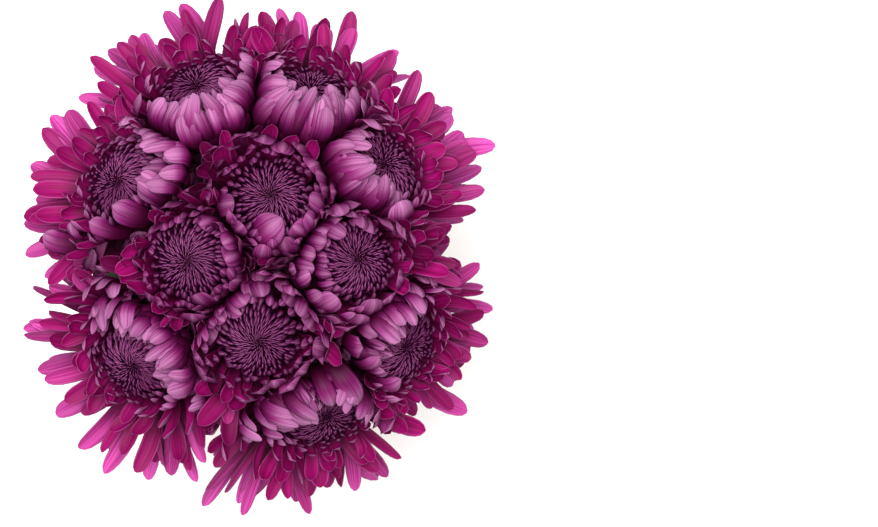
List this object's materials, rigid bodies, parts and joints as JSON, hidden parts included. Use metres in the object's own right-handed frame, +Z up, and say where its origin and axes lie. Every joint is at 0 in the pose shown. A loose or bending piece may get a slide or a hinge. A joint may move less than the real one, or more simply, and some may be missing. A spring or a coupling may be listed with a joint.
{
  "type": "potted chrysanthemum",
  "caption": "Dense dome of double purple chrysanthemum blooms on leafy stems, planted in soil in a plain tapered clay pot with a raised rim and drain holes.",
  "frame": {"origin": "centre of the pot's foot, on the surface it stands on", "axes": "+Z up, +Y towards the top of the picture, +X towards its right"},
  "size_m": [0.1839, 0.2044, 0.2425],
  "materials": {
    "clay": "matte unglazed terracotta",
    "soil": "matte crumbly potting soil",
    "greenery": "matte living leaf and stem",
    "petals": "soft satin living petal"
  },
  "bodies": {
    "root": {"pot": "clay", "soil": "soil", "plant_1": "greenery", "plant_2": "greenery", "plant_3": "greenery", "plant_4": "greenery", "bloom_01": "petals", "bloom_02": "petals", "bloom_03": "petals", "bloom_04": "petals", "bloom_05": "petals", "bloom_06": "petals", "bloom_07": "petals", "bloom_08": "petals", "bloom_09": "petals", "bloom_10": "petals", "bloom_11": "petals"}
  },
  "joints": []
}
